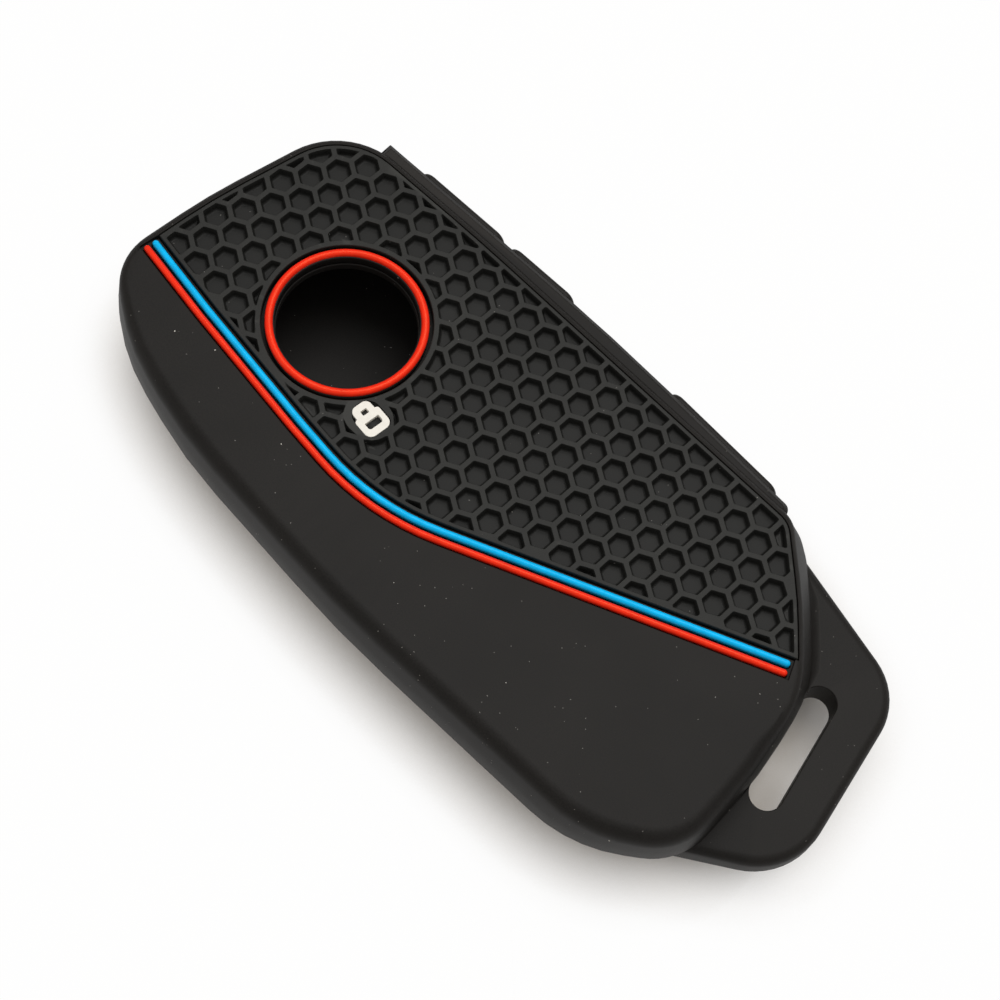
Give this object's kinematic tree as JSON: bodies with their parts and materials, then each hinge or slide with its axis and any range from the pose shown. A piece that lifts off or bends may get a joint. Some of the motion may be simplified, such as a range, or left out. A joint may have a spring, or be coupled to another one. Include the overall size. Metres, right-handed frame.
{
  "type": "key fob cover",
  "caption": "Moulded silicone cover that slips over a car key fob, with a honeycomb front panel, a ringed window, inlaid stripes, sprung side pads and a keyring strap.",
  "frame": {"origin": "middle of the cover's plan, on the flat back face that it lies on", "axes": "+Y towards the end with the window, +X towards the wall with the side pads, +Z out of the front face"},
  "size_m": [0.047, 0.0998, 0.0153],
  "materials": {
    "body_silicone": "matt moulded silicone",
    "panel_silicone": "matt moulded silicone",
    "pad_silicone": "matt moulded silicone",
    "red_trim": "satin coloured silicone",
    "blue_trim": "satin coloured silicone"
  },
  "bodies": {
    "cover": {"cover_body": "body_silicone", "honeycomb_panel": "panel_silicone", "window_ring": "red_trim", "blue_stripe": "blue_trim", "red_stripe": "red_trim"},
    "upper_pad": {"upper_side_pad": "pad_silicone"},
    "middle_pad": {"middle_side_pad": "pad_silicone"},
    "lower_pad": {"lower_side_pad": "pad_silicone"}
  },
  "joints": [
    {"name": "upper_pad_press", "type": "slide", "parent": "cover", "child": "upper_pad", "axis": [-1, 0.0082, 0], "range_m": [0, 0.0006], "stiffness_N_per_m": 1500, "springref_m": -0.0002},
    {"name": "middle_pad_press", "type": "slide", "parent": "cover", "child": "middle_pad", "axis": [-1, 0.0082, 0], "range_m": [0, 0.0006], "stiffness_N_per_m": 1500, "springref_m": -0.0002},
    {"name": "lower_pad_press", "type": "slide", "parent": "cover", "child": "lower_pad", "axis": [-0.9976, 0.069, 0], "range_m": [0, 0.0006], "stiffness_N_per_m": 1500, "springref_m": -0.0002}
  ]
}
